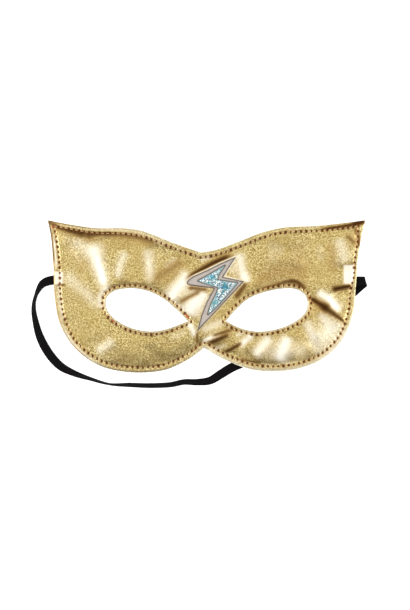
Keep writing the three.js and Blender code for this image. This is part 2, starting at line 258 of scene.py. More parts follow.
def fade(distance, flat, run):
    return 1 - smooth((distance - flat) / run)


def hill(distance, width):
    return np.exp(-(distance / width) ** 2)


def hermite(four, t):
    before, start, end, after = four
    leaving = (end - before) / 2
    arriving = (after - start) / 2
    return ((2 * t**3 - 3 * t**2 + 1) * start + (t**3 - 2 * t**2 + t) * leaving
            + (3 * t**2 - 2 * t**3) * end + (t**3 - t**2) * arriving)


def lengths_along(line):
    """How far along an open line each of its points is."""
    return np.concatenate([[0], np.cumsum(np.linalg.norm(np.diff(line, axis=0), axis=1))])


def even_points(line, step):
    """Points at equal steps along an open line, its two ends included."""
    lengths = lengths_along(line)
    places = np.linspace(0, lengths[-1], max(1, round(lengths[-1] / step)) + 1)
    return np.stack([np.interp(places, lengths, values) for values in line.T], axis=1)


def even_loop(loop, step):
    return even_points(np.vstack([loop, loop[:1]]), step)[:-1]


def spline(controls, step):
    """A smooth curve through the controls, without its last point."""
    held = np.vstack([controls[:1], controls, controls[-1:]])
    t = np.linspace(0, 1, SPLINE_STEPS, endpoint=False)[:, None]
    runs = [hermite(held[i:i + 4], t) for i in range(len(controls) - 1)]
    return even_points(np.vstack([*runs, controls[-1:]]), step)[:-1]


def outer_edge(step):
    return np.vstack([spline(side, step) for side in (BROW_LEFT, SIDE_LEFT, SIDE_RIGHT, BROW_RIGHT)])


def outlines(step):
    return [outer_edge(step), spline(EYE_LEFT, step), spline(EYE_RIGHT, step)]


def nearest(path, points, closed=True):
    """Distance from each point to a path, how far along the path, and which side: left is positive."""
    starts = path if closed else path[:-1]
    runs = (np.roll(path, -1, axis=0) if closed else path[1:]) - starts
    lengths = np.linalg.norm(runs, axis=1)
    offsets = np.concatenate([[0], np.cumsum(lengths)[:-1]])
    found = []
    for first in range(0, len(points), CHUNK):
        part = points[first:first + CHUNK]
        dx = part[:, :1] - starts[:, 0]
        dy = part[:, 1:2] - starts[:, 1]
        share = np.clip((dx * runs[:, 0] + dy * runs[:, 1]) / lengths**2, 0, 1)
        gap = (dx - share * runs[:, 0]) ** 2 + (dy - share * runs[:, 1]) ** 2
        best = gap.argmin(axis=1)
        rows = np.arange(len(part))
        cross = runs[best, 0] * dy[rows, best] - runs[best, 1] * dx[rows, best]
        along = offsets[best] + share[rows, best] * lengths[best]
        found.append(np.stack([np.sqrt(gap[rows, best]), along, np.sign(cross)], axis=1))
    return np.vstack(found).T


def least_distance(paths, points, closed=True):
    return np.minimum.reduce([nearest(path, points, closed)[0] for path in paths])


def is_inside(loop, points):
    (x0, y0), (x1, y1) = loop.T, np.roll(loop, -1, axis=0).T
    rise = np.where(y1 == y0, 1, y1 - y0)
    results = []
    for first in range(0, len(points), CHUNK):
        x, y = points[first:first + CHUNK].T[:, :, None]
        crossed = ((y0 > y) != (y1 > y)) & (x < x0 + (y - y0) * (x1 - x0) / rise)
        results.append(crossed.sum(axis=1) % 2 == 1)
    return np.concatenate(results)


def in_panel(loops, points):
    inside = is_inside(loops[0], points)
    for hole in loops[1:]:
        inside &= ~is_inside(hole, points)
    return inside


def clear_points(loops, points, margin):
    """Those of the points that lie in the panel between the loops, clear of its edges."""
    points = points[in_panel(loops, points)]
    return points[least_distance(loops, points) > margin]


def hexagon_points(low, high, spacing):
    """Points at the corners of even triangles that fill a box."""
    rows = np.arange(low[1], high[1], spacing * math.sqrt(3) / 2)
    columns = np.arange(low[0], high[0], spacing)
    x, y = np.meshgrid(columns.astype(float), rows)
    x[1::2] += spacing / 2
    return np.stack([x.ravel(), y.ravel()], axis=1)


def points_over(loop, spacing):
    return hexagon_points(loop.min(axis=0), loop.max(axis=0), spacing)


def waves(points, length, seed):
    """Smooth random heights of about 1: waves of about one length that run in all directions."""
    random = np.random.default_rng(seed)
    angles = np.radians(random.uniform(-180, 180, WAVES))
    numbers = 2 * math.pi / (length * random.uniform(0.75, 1.35, WAVES))
    phases = random.uniform(0, 2 * math.pi, WAVES)
    total = np.zeros(len(points))
    for angle, number, phase in zip(angles, numbers, phases):
        total += np.cos((points[:, 0] * math.cos(angle) + points[:, 1] * math.sin(angle)) * number + phase)
    return total / math.sqrt(WAVES / 2)


def grown(loop, amount):
    """An anticlockwise loop moved outwards, by one amount or by one for each point."""
    before = loop - np.roll(loop, 1, axis=0)
    after = np.roll(loop, -1, axis=0) - loop
    along = before / np.linalg.norm(before, axis=1)[:, None] + after / np.linalg.norm(after, axis=1)[:, None]
    outward = np.stack([along[:, 1], -along[:, 0]], axis=1)
    outward /= np.linalg.norm(outward, axis=1)[:, None]
    return loop + np.reshape(amount, (-1, 1)) * outward


def seam_loop(loop, growth):
    """The needle holes along an anticlockwise loop moved outwards, without overshoots at its corners."""
    moved = grown(loop, growth)
    line = moved[nearest(loop, moved)[0] > np.abs(growth) - 0.05]
    return even_loop(line, STITCH)


def rim_margin(loop):
    """How far the seam runs inside the edge, less on the right and at the left tip, more on the left."""
    x, y = loop.T
    right = smooth((x - 80) / 12) * smooth((y - 2) / 12) * fade(y, 34, 10)
    top = smooth((-x - 70) / 20) * smooth((y - 40) / 3)
    brow = fade(np.abs(x + 52), 8, 12) * smooth((y - 30) / 5)
    left = smooth((-x - 80) / 10) * fade(np.abs(y - 3), 22, 12)
    return RIM_SEAM - 1.4 * right - 0.4 * top + 0.4 * brow + 0.7 * left


# Meshes

def make_mesh(name, corners, faces, material, values=None, flat=False, sharp_angle=None):
    """A piece from corners in millimetres, with named numbers for its shader at each corner."""
    mesh = bpy.data.meshes.new(name)
    mesh.from_pydata((corners * MM).tolist(), [], faces)
    if not flat:
        mesh.shade_smooth()
    if sharp_angle:
        mesh.set_sharp_from_angle(angle=math.radians(sharp_angle))
    for key, numbers in (values or {}).items():
        attribute = mesh.attributes.new(key, "FLOAT", "POINT")
        attribute.data.foreach_set("value", np.asarray(numbers, np.float32))
    mesh.materials.append(material)
    return add_object(name, mesh)


def band(low, high, count):
    """Quads between two rings of corners, each given by its first corner."""
    ring = np.arange(count)
    after = np.roll(ring, -1)
    return np.column_stack([low + ring, low + after, high + after, high + ring])


def triangulate(loops, inner):
    """Triangles over the panel between the loops, the first of which is the outside."""
    points = np.vstack([*loops, inner])
    edges = []
    first = 0
    for loop in loops:
        count = len(loop)
        edges += [(first + i, first + (i + 1) % count) for i in range(count)]
        first += count
    found = delaunay_2d_cdt([Vector(p) for p in points.tolist()], edges, [], 0, 1e-7)
    triangles = np.array([found[3][a][0] for tri in found[2] for a in tri]).reshape(-1, 3)
    doubtful = (triangles < first).all(axis=1)
    keep = ~doubtful
    keep[doubtful] = in_panel(loops, points[triangles[doubtful]].mean(axis=1))
    return points, triangles[keep]


def slab(name, loops, upper_inner, lower_inner, top, bottom, material, levels=(), values=None):
    """A solid between two height functions. A level is a ring on its walls: share of height, and growth."""
    upper, upper_faces = triangulate(loops, upper_inner)
    lower, lower_faces = triangulate(loops, lower_inner)
    count = sum(len(loop) for loop in loops)
    top_z = top(upper)
    bottom_z = bottom(lower)
    rings = [np.column_stack([upper[:count], top_z[:count]])]
    for share, growth in levels:
        moved = np.vstack([grown(loop, growth) for loop in loops])
        z = top_z[:count] * share + bottom_z[:count] * (1 - share)
        rings.append(np.column_stack([moved, z]))
    parts = [np.column_stack([upper, top_z]), *rings[1:], np.column_stack([lower, bottom_z])]
    starts = np.cumsum([0, *[len(part) for part in parts]])
    faces = [upper_faces, lower_faces[:, ::-1] + starts[-2]]
    first = 0
    for loop in loops:
        here = first + np.arange(len(loop))
        after = np.roll(here, -1)
        for above, below in zip(starts[:-2], starts[1:-1]):
            faces.append(np.column_stack([above + here, below + here, below + after]))
            faces.append(np.column_stack([above + here, below + after, above + after]))
        first += len(loop)
    numbers = {key: np.concatenate([function(part[:, :2]) for part in parts])
               for key, function in (values or {}).items()}
    return make_mesh(name, np.vstack(parts), np.vstack(faces).tolist(), material, numbers)


# Strap

def strap_frames():
    """Middle line, width direction and face direction of the strap at each step."""
    route = np.array(STRAP_ROUTE) / MM
    held = np.vstack([2 * route[0] - route[1], route, 2 * route[-1] - route[-2]])
    spans = len(route) - 1
    fine = np.linspace(0, spans, STRAP_STEPS * STRAP_SUBSTEPS + 1)
    span = np.minimum(fine.astype(int), spans - 1)
    share = (fine - span)[:, None]
    four = [held[span + i] for i in range(4)]
    line, ahead = hermite(four, share), hermite(four, share + 1e-4)
    tangents = (ahead - line) / np.linalg.norm(ahead - line, axis=1)[:, None]
    turns = np.radians(np.interp(fine, np.arange(spans + 1), STRAP_TURNS))
    face = np.array([0.0, 0, 1])
    widths, faces = [], []
    for tangent, turn in zip(tangents, turns):
        face = face - face.dot(tangent) * tangent
        face = face / np.linalg.norm(face)
        turned = face * math.cos(turn) + np.cross(tangent, face) * math.sin(turn)
        widths.append(np.cross(turned, tangent))
        faces.append(turned)
    every = slice(None, None, STRAP_SUBSTEPS)
    return line[every], np.array(widths)[every], np.array(faces)[every]


def make_strap(material):
    line, widths, faces = strap_frames()
    across = np.linspace(-1, 1, STRAP_SIDE_POINTS)
    ribs = np.abs(np.cos(across * STRAP_RIBS * math.pi / 2 + math.pi / 2 * (STRAP_RIBS + 1)))
    half = STRAP_THICKNESS / 2 - STRAP_RIB_DEPTH * (1 - ribs)
    half *= np.clip((1 - np.abs(across)) / SELVEDGE, SELVEDGE_THINNESS, 1)
    outline_across = np.concatenate([across, across[::-1]])
    outline_half = np.concatenate([half, -half[::-1]])
    lengths = lengths_along(line)
    scallop = 1 + SCALLOP_DEPTH * np.sin(lengths * 2 * math.pi / SCALLOP_LENGTH)[:, None, None]
    corners = (line[:, None] + widths[:, None] * outline_across[:, None] * STRAP_WIDTH / 2 * scallop
               + faces[:, None] * outline_half[:, None])
    around = len(outline_across)
    last = (len(line) - 1) * around
    sides = np.vstack([band(low, low + around, around) for low in range(0, last, around)])
    ends = [list(range(around))[::-1], list(range(last, last + around))]
    values = {
        "along": np.repeat(lengths, around),
        "across": np.tile(outline_across * STRAP_WIDTH / 2, len(line)),
    }
    piece = make_mesh("strap_elastic", corners.reshape(-1, 3), [*sides.tolist(), *ends], material, values,
                      sharp_angle=60)
    return piece, line


# Heights of the panel's surfaces

COARSE = outlines(COARSE_STEP)
UNDER = np.array(STRAP_ROUTE)[UNDER_ROUTE, :2] / MM
TUCKS = [np.array(STRAP_ROUTE)[ends, :2] / MM for ends in TUCKED_ENDS]
EDGE_LINE, *EYE_LINES = outlines(SEAM_STEP)
SEAMS = [seam_loop(EDGE_LINE, -rim_margin(EDGE_LINE)), *[seam_loop(line, EYE_SEAM) for line in EYE_LINES]]


def rim_distance(points):
    return nearest(COARSE[0], points)[0]


def eye_distance(points):
    return least_distance(COARSE[1:], points)


def ridge(points):
    return RIDGE_HEIGHT * fade(nearest(UNDER, points, closed=False)[0], RIDGE_FLAT, RIDGE_RUN)


# Folds: a line, the width of its band or its widths at both ends, how much higher the sheet is to its left,
# and how strong the painted highlight (above zero) or painted shade (below zero) along it is
FOLDS = [
    # Left wing
    ([(-74.1, 36.6), (-72.5, 28.8), (-70.6, 21), (-68.1, 13.2), (-65.4, 2.8)], (10.4, 5.53), 0.7, 0.9),
    ([(-93.3, 39.2), (-84.9, 32.7), (-75.8, 22.3)], (5.85, 11.7), 0.3, 0.15),
    ([(-87.5, 36.9), (-79.7, 33.3), (-71.9, 26.8)], (8.45, 6.5), 0.1, 0.35),
    ([(-94.6, 39.2), (-85.5, 27.5), (-75.1, 13.8)], (3.9, 4.55), 0.3, -0.15),
    ([(-51.7, 30.7), (-55.7, 20.8), (-58.2, 9.9)], (5.53, 4.88), 0.45, 0.48),
    ([(-38.3, 32.7), (-37.1, 20.8), (-35.8, 7.3)], (6.5, 6.17), 0.5, 0.5),
    ([(-19.2, 25.5), (-23.8, 21.6), (-28.3, 17.7)], (3.25, 2.6), 0.2, 0.3),
    ([(-94.6, 17.1), (-85, 7.8), (-76.5, 0.4), (-68.6, -9.6)], (7.8, 5.85), 0.12, 0.35),
    ([(-58.9, -27.8), (-65.4, -32.3), (-72.5, -36.9)], (5.2, 5.85), 0.12, 0.45),
    ([(-101.8, 46.6), (-88.8, 43.4), (-75.1, 39.5)], (2.6, 8.45), -0.4, -0.95),
    ([(-81, 39.5), (-71.2, 41.4), (-58.9, 41.4)], (9.1, 3.25), -0.4, -0.9),
    ([(-69.3, 41.1), (-48.5, 38.8), (-40, 36.7), (-29, 32.7)], (5.53, 5.2), -0.1, -0.55),
    ([(-98.8, 7.3), (-91, 7.4)], 1.43, 0, -0.85),
    ([(-36.8, 8), (-27.7, 14.8), (-20.8, 19.3), (-12.7, 25.5)], 6.5, 0.2, -0.45),
    ([(-51.7, 8.6), (-44.6, 8.6), (-36.1, 6)], 2.6, 0, -0.1),
    ([(-61.5, 7), (-67, 3.7), (-69.3, -2.4), (-67.6, -9.6)], 3.25, 0, 0.6),
    ([(-28.3, 6.3), (-23.1, 11.2), (-16.6, 17.1)], 2.6, 0, -0.3),
    ([(-65.4, -40.8), (-53, -44.4), (-40, -45.3), (-20.5, -40.8)], (6.5, 5.85), 0.08, -0.02),
    # Round the bolt
    ([(-10.1, 17.1), (-16, 8.6), (-20.8, 2.8), (-25.7, -3.7)], 8.45, 0.8, 0.95),
    ([(-1, 6), (-8.2, -4.4), (-12.7, -14.1)], (15.6, 11.05), 0.15, 1),
    ([(-12.4, -16.1), (-9.1, -21.6), (-7.2, -27.1)], (3.9, 3.25), 0.2, 0.9),
    ([(-12.1, -21.9), (-18.6, -25.2), (-24.4, -27.1)], (3.9, 3.25), 0, 0.25),
    ([(20.8, 30.1), (21.9, 22.3), (23.6, 14.5), (25.6, 7.3)], (5.85, 5.2), -0.45, 0.75),
    ([(23.7, 15.8), (25.2, 11.9), (26.3, 8)], 4.55, 0, 0.8),
    ([(13.9, 17.1), (20.4, 18.4)], 8.45, 0, 0.35),
    ([(-15.3, 9.1), (-11.1, 12.5), (-5.6, 16), (0.9, 19.7), (7.4, 22.9), (13.9, 25.4), (19.8, 26.9)],
      (2.86, 4.55), 0, -1),
    ([(-4.9, 21.9), (-0.4, 24.5), (4.8, 26.3)], 2.6, 0, 0.4),
    ([(-13.4, 5.4), (-6.2, 5.4), (2.2, 4.1)], (3.58, 3.25), 0.3, -0.75),
    ([(-2.3, 4.1), (-10.8, -0.2), (-19.2, -5)], 3.25, 0.2, -0.6),
    ([(26.3, 9.9), (22.7, 4.4), (17.8, -2.4)], 3.9, 0, -0.8),
    ([(-6.1, -22.3), (-6, -31.7)], (1.62, 2.93), 0.2, -0.65),
    ([(-10.8, -35.9), (-5.6, -33.3), (-1, -31)], 2.6, 0, -0.5),
    # Nose
    ([(11.3, -16.1), (3.5, -19.3), (-4.3, -22.6)], (5.2, 4.55), 0, 0.5),
    ([(10, -23.6), (2.9, -26.8), (-3.6, -30.1)], 2.93, 0.2, 0.85),
    ([(13.9, -31), (6.1, -34), (-0.4, -34.9)], 2.27, 0, 0.35),
    ([(-2.3, -32.3), (6.8, -28.4), (16.5, -23.9)], (3.25, 2.93), 0.3, -0.78),
    ([(2.2, -26.2), (11.3, -23.2), (19.8, -20.3)], (1.95, 2.6), 0.2, -0.72),
    ([(10, -37.2), (17.2, -33.6), (24, -29.4)], (2.6, 2.93), 0.3, -0.78),
    ([(19.8, -39.2), (28.2, -42.1), (38, -44)], 2.6, 0, -0.5),
    # Right wing
    ([(84.8, 39.2), (87.7, 30.1), (90, 19.7)], (6.5, 7.8), 0.1, 0.42),
    ([(73.1, 34.6), (74.4, 21.6)], 3.9, 0.15, 0.15),
    ([(47.4, 33.3), (48.4, 25.5)], 3.25, 0.15, 0.12),
    ([(69.8, 3.7), (78.3, -1.5), (87.4, -11.5)], (4.55, 7.15), -0.45, 0.9),
    ([(72.4, -9.6), (77.6, -16.4), (83.5, -23.9)], (4.55, 5.2), 0.15, 0.5),
    ([(64, -14.8), (67.2, -21.9), (71.1, -29.7)], (5.2, 4.55), 0.3, 0.55),
    ([(64.6, -33), (77, -26.5), (88, -14.1)], 16.25, 0, 0.45),
    ([(33.4, -34.9), (51, -36.2), (68.5, -32.3)], 9.1, 0, 0.3),
    ([(53.6, -24.5), (49.7, -33.6), (46.4, -44)], (6.5, 8.45), 0.8, 1),
    ([(42.5, -25.2), (36, -32.3), (30.2, -40.1)], (5.53, 6.5), 0.6, 0.85),
    ([(30.8, -24.5), (25, -28.8), (19.8, -33)], 3.9, 0.5, 0.9),
    ([(24.7, -22.6), (18.5, -26.2)], 2.6, 0, 0.45),
    ([(64, 0.5), (71.8, -4.1), (80.2, -9.6)], (2.27, 5.85), 0.3, -1),
    ([(72.4, -4.7), (80.9, -10.4), (91.3, -18)], (5.85, 1.69), 0.3, -0.85),
    ([(79.6, 4.1), (87.4, 5.4), (95.8, 6.9)], (5.2, 2.08), 0, -1),
    ([(32.8, 3.7), (44.8, 7.4), (54.2, 9.4), (61.1, 7.6), (68.2, 1.5)], (1.95, 3.25), 0.1, -0.7),
    ([(28.2, 8.6), (51, 16.4), (68.5, 11.2)], 11.7, 0, -0.35),
    ([(79.6, 37.2), (81.9, 24.9), (82.2, 11.9)], 5.85, 0, -0.3),
    ([(58.8, 37.2), (60.1, 24.9), (58.1, 14.5)], 8.45, 0, -0.2),
    ([(43.8, 36.6), (43.2, 28.8), (41.9, 20.3)], 7.15, 0, 0.14),
    ([(17.8, 34.6), (28.2, 38.5), (38, 41.2), (55.5, 43.8)], 2.27, 0, -0.4),
    ([(89.3, 39.5), (93.2, 37.2), (97.1, 33.3)], (2.6, 3.25), 0, -0.6),
    ([(52.3, 10.9), (58.8, 9.3), (63.3, 4.1)], 1.95, 0, -0.6),
]

# Painted highlight and painted shade strokes along the outer edge, over its flat margin too
EDGE_STROKES = [
    ([(71.1, 42.9), (89.5, 45.5), (107.5, 48.9)], (2.21, 2.73), 0, -1),
    ([(93.2, 46.3), (97.8, 47.6), (103.6, 49.9)], (2.93, 3.58), 0, -0.9),
    ([(95.8, 45.7), (98.1, 39.2), (98.8, 30.1)], (3.25, 2.27), 0, -0.85),
    ([(-102.7, 50.2), (-100.5, 36.6), (-99, 19.7)], 1.23, 0, -1),
    ([(-22.5, 33.8), (-14.7, 30.7), (-5.6, 27.9)], 0.98, 0, -0.3),
    ([(-106.3, 50.9), (-101.8, 47.6), (-95.3, 45.5)], (2.08, 1.95), 0, -0.75),
    ([(-99, 39.2), (-98.1, 28.8), (-97.1, 17.1)], 1.3, 0, 0.75),
    ([(-95.1, 18.4), (-95.3, 7.3), (-94.6, -5.7), (-91.7, -18.7)], 1.69, 0, 0.6),
    ([(-79.7, 44.4), (-62.8, 43.7), (-43.3, 39.8), (-22.5, 32)], 3.25, 0, 0.2),
    ([(-94, -18.7), (-87.5, -30.4), (-75.8, -42.1), (-61.5, -48.6)], 2.27, 0, 0.45),
    ([(-1, -36.6), (10, -42.7), (24.3, -48.6)], 2.27, 0, 0.5),
    ([(97.8, -10.2), (93.2, -23.9), (85.4, -33)], 2.08, 0, 0.5),
]

# Flat raised patches over the sewn-in strap ends: middle, half sizes, rise and painted highlight
PATCHES = [
    ((-95.8, 11.6), (2.6, 4.3), 0.25, 0.75),
    ((91.9, 13.9), (3.1, 6.3), 0.15, 0.92),
]


# A fold's reach, fall and width of its painted highlight or shade, in widths of its band, the power of its
# taper, and the share of it over which its painted highlight or shade fades
FOLD_REACH = 3.5
FOLD_FALL = 1.6
FOLD_TAPER = 0.6
TONE_WIDTH = 0.55
TONE_END = 0.22


def over(*tones):
    """Tones from 0 to 1 laid over each other."""
    return 1 - np.prod([1 - tone for tone in tones], axis=0)


def folded(points, folds):
    """Height, painted highlight and painted shade that the folds give at each point."""
    height, painted_highlight, painted_shade = np.zeros((3, len(points)))
    for line, widths, rise, tone in folds:
        path = even_points(np.vstack([spline(line, 1), line[-1:]]), 1)
        width, end_width = np.broadcast_to(widths, 2)
        reach = FOLD_REACH * max(width, end_width)
        close = ((points > path.min(axis=0) - reach) & (points < path.max(axis=0) + reach)).all(axis=1)
        near = np.flatnonzero(close)
        if len(near) == 0:
            continue
        distance, along, side = nearest(path, points[near], closed=False)
        share = along / lengths_along(path)[-1]
        width = width + (end_width - width) * share
        taper = np.sin(np.clip(share, 0, 1) * math.pi) ** FOLD_TAPER
        across = side * distance / width
        height[near] += rise * taper * smooth(across + 0.5) * hill(np.maximum(across - 0.5, 0), FOLD_FALL)
        # Painted highlight for a tone above zero, painted shade for one below, fading towards the fold's
        # ends.
        ends = smooth(np.minimum(share, 1 - share) / TONE_END)
        painted_layer = painted_highlight if tone > 0 else painted_shade
        painted_layer[near] = over(painted_layer[near], abs(tone) * hill(distance / width, TONE_WIDTH) * ends)
    return height, painted_highlight, painted_shade


def patches(points):
    """Height and painted highlight of the raised patches over the strap ends."""
    height, painted_highlight = np.zeros((2, len(points)))
    for middle, half, rise, tone in PATCHES:
        x = np.abs(points[:, 0] - middle[0]) - half[0]
        y = np.abs(points[:, 1] - middle[1]) - half[1]
        flat = fade(x, -0.6, 1.4) * fade(y, -0.5, 1.1)
        height += rise * flat
        painted_highlight = np.maximum(painted_highlight, tone * flat)
    return height, painted_highlight


def painted_highlight_tone(points):
    """Painted highlights on folds, patches and flat margins; the margins stay golden under the left lobe."""
    rim, eye = rim_distance(points), eye_distance(points)
    x, y = points.T
    golden = smooth((x + 78) / 12) * fade(x, -14, 16) * smooth((-20 - y) / 10)
    # Painted highlight on the flat stitched margins and beside the eye holes, weaker under the left lobe.
    margin = fade(rim, 1, 1.8) * (0.1 + 0.12 * smooth((10 - x) / 50) + 0.3 * smooth((-5 - y) / 25))
    margin = margin * (1 - 0.8 * golden) + 0.3 * fade(eye, 0.3, 0.8)
    painted_highlight = over(folded(points, FOLDS)[1], folded(points, EDGE_STROKES)[1], patches(points)[1], margin)
    return np.maximum(painted_highlight * (1 - painted_shade_tone(points)), bolt_rim_highlight(points))


def bolt_rim_highlight(points):
    """A thin painted highlight where the leather bulges against the bolt's border, strongest at its upper
    left.
    """
    return (0.3 + 0.6 * smooth((points[:, 1] - 4) / 10)) * hill(outside_bolt(points) - 0.4, 0.55)


def painted_shade_tone(points):
    """Painted shade in folds, which ends at the seam, and in strokes, and a thin dark line along the edge."""
    rim = rim_distance(points)
    inside = smooth((rim - 1.4) / 1.8)
    # A thin dark line along the outer edge on the left.
    border = 0.45 * fade(rim, 0.5, 0.6) * smooth((-points[:, 0] - 60) / 25)
    painted_shade = over(folded(points, FOLDS)[2] * inside, folded(points, EDGE_STROKES)[2], border)
    return painted_shade * (1 - bolt_rim_highlight(points))


def wide_ridge(points):
    """The front's gentler rise over the strap beneath it and over the strap's right end."""
    x, y = points.T
    under = UNDER_RISE * fade(nearest(UNDER, points, closed=False)[0], RIDGE_FLAT, GENTLE_RUN)
    below = TUCKS[1][0, 1] - y
    run = 3.5 + GENTLE_RUN * smooth((90 - x) / 14)
    end = TUCK_RISE * fade(below, TUCK_FLAT, run) * fade(-below, TUCK_FLAT, GENTLE_RUN)
    return np.maximum(under, end * smooth((x - 55) / 35))


def swell(distance, run):
    return 1 - (1 - np.clip(distance / run, 0, 1)) ** 2


def padding(points, rim, eye):
    """How far the padding lifts the sheet above its flat stitched margin, least at both ends."""
    rise = PUFF_HEIGHT * (1 - 0.7 * smooth((np.abs(points[:, 0]) - 45) / 35))
    return rise * swell(rim - RIM_SEAM, PUFF_RUN) * (0.7 + 0.3 * swell(eye - EYE_SEAM, EYE_PUFF_RUN))


def along_seam(seam, points):
    """Distance from a seam, distance along it to the nearest needle hole, and place along it in stitches."""
    distance, along, _ = nearest(seam, points)
    length = np.linalg.norm(np.roll(seam, -1, axis=0) - seam, axis=1).mean()
    place = along / length
    return distance, np.abs(place - np.round(place)) * length, place


def seam_relief(points):
    """The stitched channel, its needle holes and the puckers beside each stitch."""
    relief = np.zeros(len(points))
    for seam in SEAMS:
        distance, to_hole, place = along_seam(seam, points)
        relief -= GROOVE_DEPTH * hill(distance, GROOVE_WIDTH)
        relief -= HOLE_DEPTH * hill(np.hypot(distance, to_hole), HOLE_RADIUS)
        relief += PUCKER_RISE * hill(distance - PUCKER_REACH, PUCKER_WIDTH) * np.sin(place * math.pi) ** 2
    return relief


def painted_hole_shade(points):
    """Painted shade in and round each needle hole. Holes differ in size, and some are drawn out to one side.
    """
    shade = np.zeros(len(points))
    for seam in SEAMS:
        distance, to_hole, place = along_seam(seam, points)
        hole = np.round(place)
        spread = 1.02 + 0.2 * np.sin(hole * 2.4) * np.sin(hole * 5.3)
        lean = 0.35 * np.sin(hole * 1.7)
        shade = np.maximum(shade, hill(np.hypot(distance + lean * to_hole, to_hole), spread))
    return shade


def outside_bolt(points):
    """Distance from the bolt's outline, negative inside it."""
    distance = nearest(BOLT_OUTSIDE, points)[0]
    return np.where(is_inside(BOLT_OUTSIDE, points), -distance, distance)


def smooth_front(points, rim, eye):
    return FRONT_LIFT + SHEET_THICKNESS + wide_ridge(points) + padding(points, rim, eye)


def front_top(points):
    rim, eye = rim_distance(points), eye_distance(points)
    base = smooth_front(points, rim, eye)
    free = smooth((np.minimum(rim - RIM_SEAM, eye - EYE_SEAM) + 0.3) / SEAM_SLOPE)
    crumple = sum(rise * waves(points, length, seed) for seed, (rise, length) in enumerate(CRUMPLES, 1))
    height = base + (folded(points, FOLDS)[0] + crumple) * free
    sewn_down = fade(outside_bolt(points), 0, SEWN_DOWN_REACH)
    height = height * (1 - sewn_down) + (base - BOLT_SPACE) * sewn_down
    height += patches(points)[0] + seam_relief(points)
    roll = EDGE_ROLL_DEPTH * (1 - 0.8 * smooth((np.abs(points[:, 0]) - 72) / 14))
    return height - roll * hill(np.minimum(rim, eye), EDGE_ROLL)


def lining_top(points):
    return ridge(points) + LINING_THICKNESS


def lining_bottom(points):
    return ridge(points) + LINING_LIFT


def front_bottom(points):
    """The underside, with a pocket over each sewn-in end of the strap."""
    height = lining_top(points) + LAYER_SPACE
    for route, pocket_height in zip(TUCKS, POCKET_HEIGHTS):
        share = fade(nearest(route, points, closed=False)[0], POCKET_FLAT, POCKET_RUN)
        height += np.maximum(pocket_height - height, 0) * share
    return height


def bolt_ground(points):
    """Where the bolt lies: the gold surface without its folds, and a little space."""
    return smooth_front(points, rim_distance(points), eye_distance(points)) + BOLT_SPACE


# Shader building

# The Mix node's sockets for colours
MIX_COLOURS = (6, 7)
MIX_RESULT = 2


class Shader:
    """A material whose nodes are made one call each."""

    def __init__(self, name):
        self.material = bpy.data.materials.new(name)
        self.material.use_nodes = True
        self.tree = self.material.node_tree
        self.surface = self.tree.nodes["Principled BSDF"]

    def add(self, kind, inputs=None, **settings):
        node = self.tree.nodes.new(kind)
        for key, value in settings.items():
            setattr(node, key, value)
        for key, value in (inputs or {}).items():
            self.feed(node.inputs[key], value)
        return node

    def feed(self, socket, value):
        if isinstance(value, bpy.types.NodeSocket):
            self.tree.links.new(value, socket)
        else:
            socket.default_value = value

    def set(self, **values):
        for key, value in values.items():
            self.feed(self.surface.inputs[key.replace("_", " ")], value)

    def number(self, name):
        return self.add("ShaderNodeAttribute", attribute_name=name).outputs["Fac"]

    def noise(self, scale, detail=2, roughness=0.5):
        place = self.add("ShaderNodeTexCoord").outputs["Object"]
        inputs = {"Vector": place, "Scale": scale, "Detail": detail, "Roughness": roughness}
        return self.add("ShaderNodeTexNoise", inputs).outputs["Fac"]

    def ramp(self, value, stops):
        node = self.add("ShaderNodeValToRGB", {"Fac": value})
        ramp = node.color_ramp
        while len(ramp.elements) < len(stops):
            ramp.elements.new(0.5)
        for element, (position, colour) in zip(ramp.elements, stops):
            element.position = position
            element.color = (*colour, 1)
        return node.outputs["Color"]

    def remap(self, value, low, high, to_low, to_high):
        inputs = {"Value": value, "From Min": low, "From Max": high, "To Min": to_low, "To Max": to_high}
        return self.add("ShaderNodeMapRange", inputs).outputs["Result"]

    def blend(self, share, first, second):
        node = self.add("ShaderNodeMix", data_type="RGBA")
        self.feed(node.inputs["Factor"], share)
        for socket, colour in zip(MIX_COLOURS, (first, second)):
            is_socket = isinstance(colour, bpy.types.NodeSocket)
            self.feed(node.inputs[socket], colour if is_socket else (*colour, 1))
        return node.outputs[MIX_RESULT]

    def math(self, operation, first, second):
        node = self.add("ShaderNodeMath", operation=operation)
        self.feed(node.inputs[0], first)
        self.feed(node.inputs[1], second)
        return node.outputs[0]

    def bump(self, height, distance, strength, under=None):
        node = self.add("ShaderNodeBump", {"Height": height, "Distance": distance * MM, "Strength": strength})
        if under:
            self.feed(node.inputs["Normal"], under)
        return node.outputs["Normal"]


